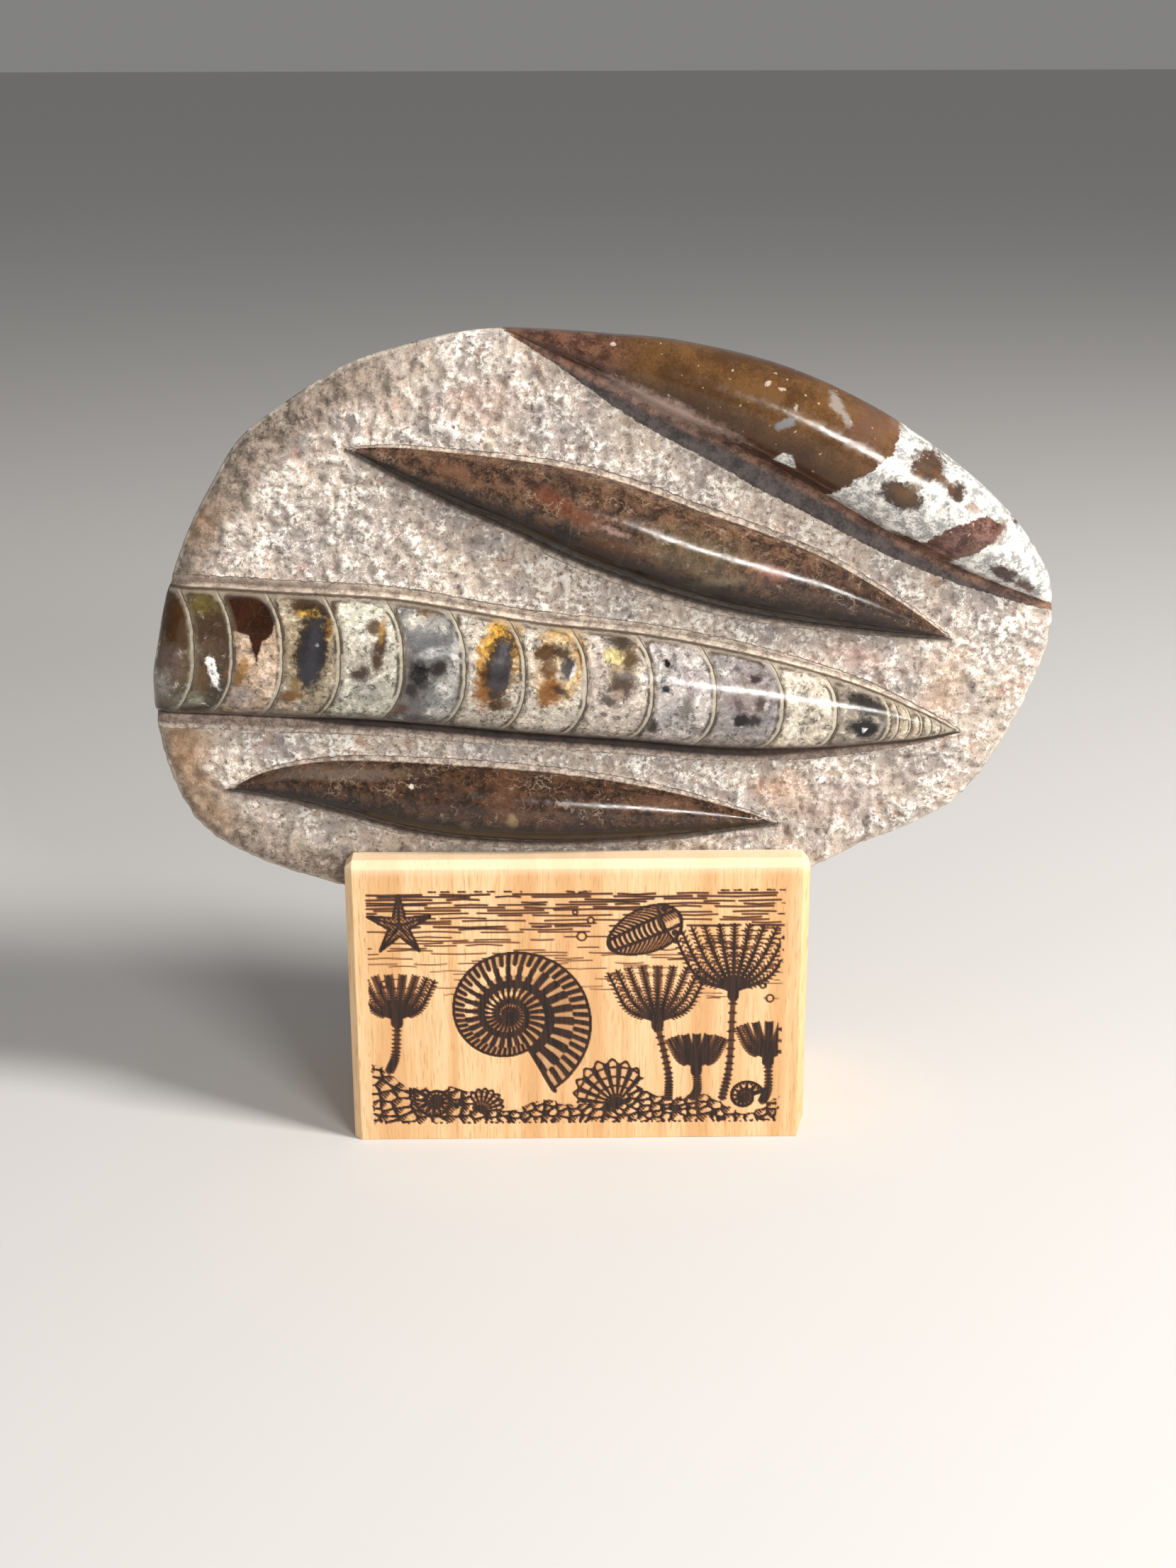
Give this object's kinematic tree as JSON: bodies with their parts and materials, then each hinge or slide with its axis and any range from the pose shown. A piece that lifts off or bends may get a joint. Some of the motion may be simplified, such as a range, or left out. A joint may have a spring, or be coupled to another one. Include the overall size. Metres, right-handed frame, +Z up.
{
  "type": "orthoceras fossil slab on stand",
  "caption": "Carved and polished limestone slab with straight-shelled orthoceras fossils in relief, standing on edge in the slot of an engraved beech block",
  "frame": {"origin": "on the surface the block stands on, under the middle of the whole part's bounding box", "axes": "+Z up, +X along the slab's length to the viewer's right, +Y away from the viewer, so the carved face looks along -Y"},
  "size_m": [0.1909, 0.046, 0.1757],
  "materials": {
    "fossil_limestone": "pecked matt ground with polished glossy fossils",
    "beech": "smooth satin, front face laser engraved"
  },
  "bodies": {
    "root": {"fossil_slab": "fossil_limestone", "stand": "beech"}
  },
  "joints": []
}
